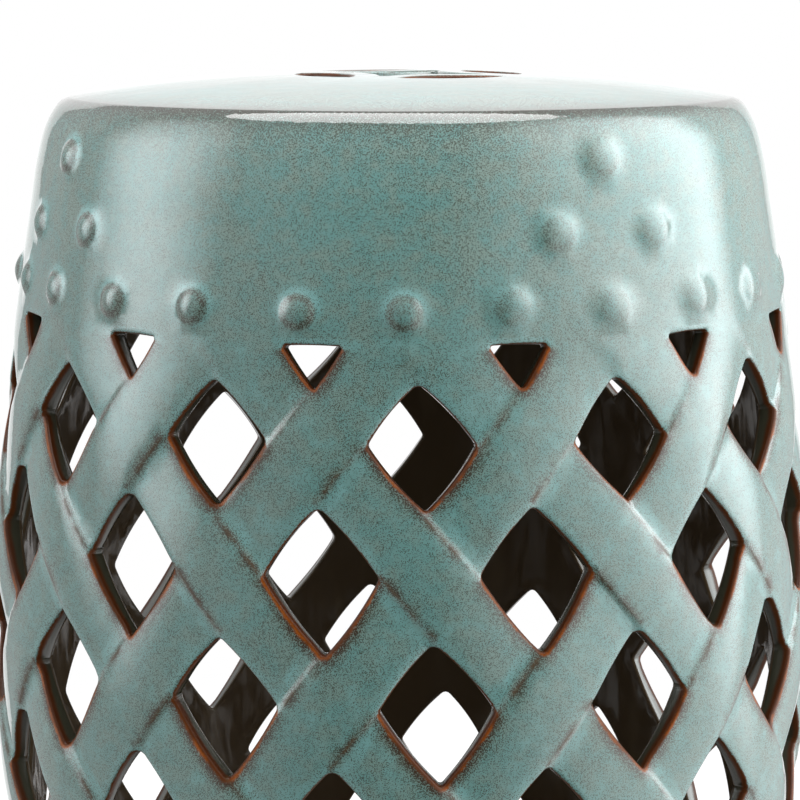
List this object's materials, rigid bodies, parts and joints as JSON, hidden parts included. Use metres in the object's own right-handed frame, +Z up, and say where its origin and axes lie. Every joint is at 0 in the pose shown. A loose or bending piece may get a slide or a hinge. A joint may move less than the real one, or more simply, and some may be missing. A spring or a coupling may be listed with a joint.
{
  "type": "ceramic garden stool",
  "caption": "Barrel-shaped glazed garden stool with a pierced basket-weave wall, studded bands and a domed seat with a pierced coin hand hold.",
  "frame": {"origin": "on the floor under the middle of the stool", "axes": "+Z up along the barrel's axis, -Y towards the front of the picture, +X to its right"},
  "size_m": [0.3323, 0.3324, 0.446],
  "materials": {
    "glaze": "glossy speckled teal glaze that breaks to rust brown on edges",
    "bare_clay": "bare fired stoneware",
    "pad": "matt"
  },
  "bodies": {
    "root": {"seat_disc": "glaze", "upper_band": "glaze", "lower_band": "glaze", "upper_stud_ring": "glaze", "upper_stud_clusters": "glaze", "lower_stud_ring": "glaze", "lower_stud_clusters": "glaze", "right_leaning_strap_01": "glaze", "right_leaning_strap_02": "glaze", "right_leaning_strap_03": "glaze", "right_leaning_strap_04": "glaze", "right_leaning_strap_05": "glaze", "right_leaning_strap_06": "glaze", "right_leaning_strap_07": "glaze", "right_leaning_strap_08": "glaze", "right_leaning_strap_09": "glaze", "right_leaning_strap_10": "glaze", "right_leaning_strap_11": "glaze", "right_leaning_strap_12": "glaze", "right_leaning_strap_13": "glaze", "left_leaning_strap_01": "glaze", "left_leaning_strap_02": "glaze", "left_leaning_strap_03": "glaze", "left_leaning_strap_04": "glaze", "left_leaning_strap_05": "glaze", "left_leaning_strap_06": "glaze", "left_leaning_strap_07": "glaze", "left_leaning_strap_08": "glaze", "left_leaning_strap_09": "glaze", "left_leaning_strap_10": "glaze", "left_leaning_strap_11": "glaze", "left_leaning_strap_12": "glaze", "left_leaning_strap_13": "glaze", "foot_ring": "bare_clay", "floor_pads": "pad"}
  },
  "joints": []
}
